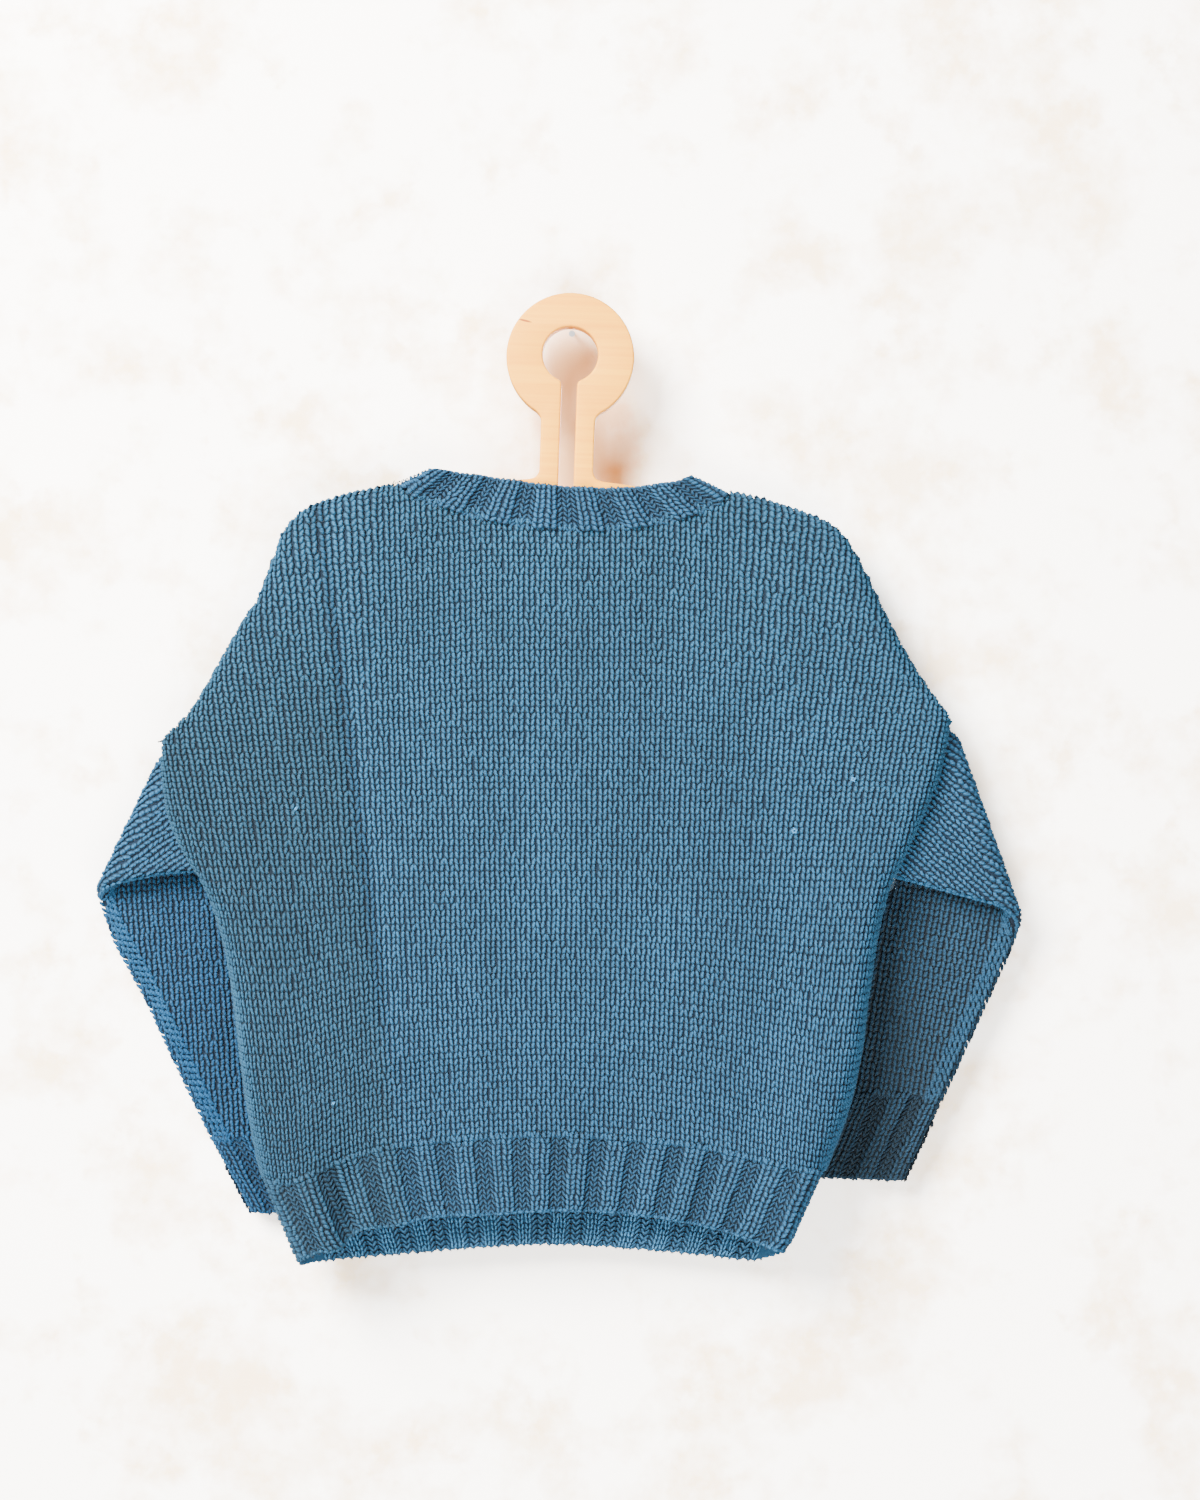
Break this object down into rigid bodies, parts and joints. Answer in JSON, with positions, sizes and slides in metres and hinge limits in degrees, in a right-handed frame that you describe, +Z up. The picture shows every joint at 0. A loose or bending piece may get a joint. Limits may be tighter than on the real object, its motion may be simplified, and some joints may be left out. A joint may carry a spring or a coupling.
{
  "type": "wool sweater on a hanger",
  "caption": "Child's hand-knit pullover with ribbed neck, cuffs and welt, hanging flat on a small plywood hanger with a ring",
  "frame": {"origin": "top of the hole in the hanger's ring, half way through its thickness, where a nail carries it", "axes": "+Z up, along the hanging length; +X to the right of a viewer who faces the sweater's back; +Y from that viewer to the wall"},
  "size_m": [0.4461, 0.0497, 0.4661],
  "materials": {
    "wool": "matte knitted wool",
    "wool_rib": "matte ribbed wool",
    "plywood": "satin clear finish"
  },
  "bodies": {
    "root": {"back_panel": "wool", "front_panel": "wool", "back_hem_rib": "wool_rib", "front_hem_rib": "wool_rib", "sleeve_left": "wool", "sleeve_right": "wool", "cuff_left": "wool_rib", "cuff_right": "wool_rib", "neckband": "wool_rib", "hanger": "plywood"}
  },
  "joints": []
}
